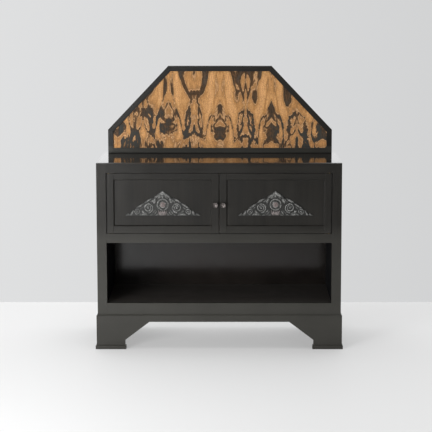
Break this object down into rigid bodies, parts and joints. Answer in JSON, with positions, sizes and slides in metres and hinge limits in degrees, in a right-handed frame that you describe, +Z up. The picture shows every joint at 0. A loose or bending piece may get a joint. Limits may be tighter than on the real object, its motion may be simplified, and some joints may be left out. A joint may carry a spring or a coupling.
{
  "type": "sideboard with a framed splashback",
  "caption": "Dark wood sideboard on a bracket plinth: open niche below, carved inset doors above, and a clipped-corner splashback with a figured panel.",
  "frame": {"origin": "bottom centre of the whole sideboard's box, on the floor", "axes": "+X to the right seen from the front, +Y from the doors to the back, +Z up"},
  "size_m": [1.217, 0.4734, 1.37],
  "materials": {
    "ebonised_wood": "satin black-brown polish over stained wood",
    "polished_top": "high gloss black-brown polish",
    "figured_veneer": "amber figured veneer with dark smoky patches, satin",
    "limed_carving": "black wood with silvery grey liming on the high parts",
    "plain_wood": "bare softwood, darkened by age",
    "back_board": "thin board, stained brown",
    "hinge_brass": "dull brass",
    "knob_metal": "dark patina, worn bright on the rim",
    "bolt_steel": "plain steel"
  },
  "bodies": {
    "cabinet": {"back_panel_lower": "back_board", "back_panel_upper": "back_board", "cupboard_floor": "ebonised_wood", "door_stop": "plain_wood", "figured_panel": "figured_veneer", "foot_pad_back_left": "ebonised_wood", "foot_pad_back_right": "ebonised_wood", "foot_pad_front_left": "ebonised_wood", "foot_pad_front_right": "ebonised_wood", "frame_rail_bottom": "ebonised_wood", "frame_rail_middle": "ebonised_wood", "frame_rail_top": "ebonised_wood", "frame_stile_left": "ebonised_wood", "frame_stile_right": "ebonised_wood", "hinge_left_frame_leaves": "hinge_brass", "hinge_left_pins": "hinge_brass", "hinge_right_frame_leaves": "hinge_brass", "hinge_right_pins": "hinge_brass", "hood_back_board": "back_board", "hood_bottom_rail": "ebonised_wood", "hood_dowels": "plain_wood", "hood_left_post": "ebonised_wood", "hood_left_slope": "ebonised_wood", "hood_right_post": "ebonised_wood", "hood_right_slope": "ebonised_wood", "hood_top_rail": "ebonised_wood", "niche_floor": "ebonised_wood", "niche_lining_left": "ebonised_wood", "niche_lining_right": "ebonised_wood", "plinth_back": "ebonised_wood", "plinth_corner_blocks": "plain_wood", "plinth_front": "ebonised_wood", "plinth_left": "ebonised_wood", "plinth_right": "ebonised_wood", "side_panel_left": "ebonised_wood", "side_panel_right": "ebonised_wood", "top_board": "polished_top"},
    "door_left": {"door_left_bead": "ebonised_wood", "door_left_bottom_rail": "ebonised_wood", "door_left_carving": "limed_carving", "door_left_hinge_stile": "ebonised_wood", "door_left_knob": "knob_metal", "door_left_knob_bolt": "bolt_steel", "door_left_meeting_stile": "ebonised_wood", "door_left_panel": "ebonised_wood", "door_left_top_rail": "ebonised_wood", "hinge_left_door_leaves": "hinge_brass"},
    "door_right": {"door_right_bead": "ebonised_wood", "door_right_bottom_rail": "ebonised_wood", "door_right_carving": "limed_carving", "door_right_hinge_stile": "ebonised_wood", "door_right_knob": "knob_metal", "door_right_knob_bolt": "bolt_steel", "door_right_meeting_stile": "ebonised_wood", "door_right_panel": "ebonised_wood", "door_right_top_rail": "ebonised_wood", "hinge_right_door_leaves": "hinge_brass"}
  },
  "joints": [
    {"name": "door_left_swing", "type": "hinge", "parent": "cabinet", "child": "door_left", "pos_m": [-0.5365, -0.20665, 0.72425], "axis": [0, 0, -1], "range_deg": [0, 105]},
    {"name": "door_right_swing", "type": "hinge", "parent": "cabinet", "child": "door_right", "pos_m": [0.5365, -0.20665, 0.72425], "axis": [0, 0, 1], "range_deg": [0, 105]}
  ]
}
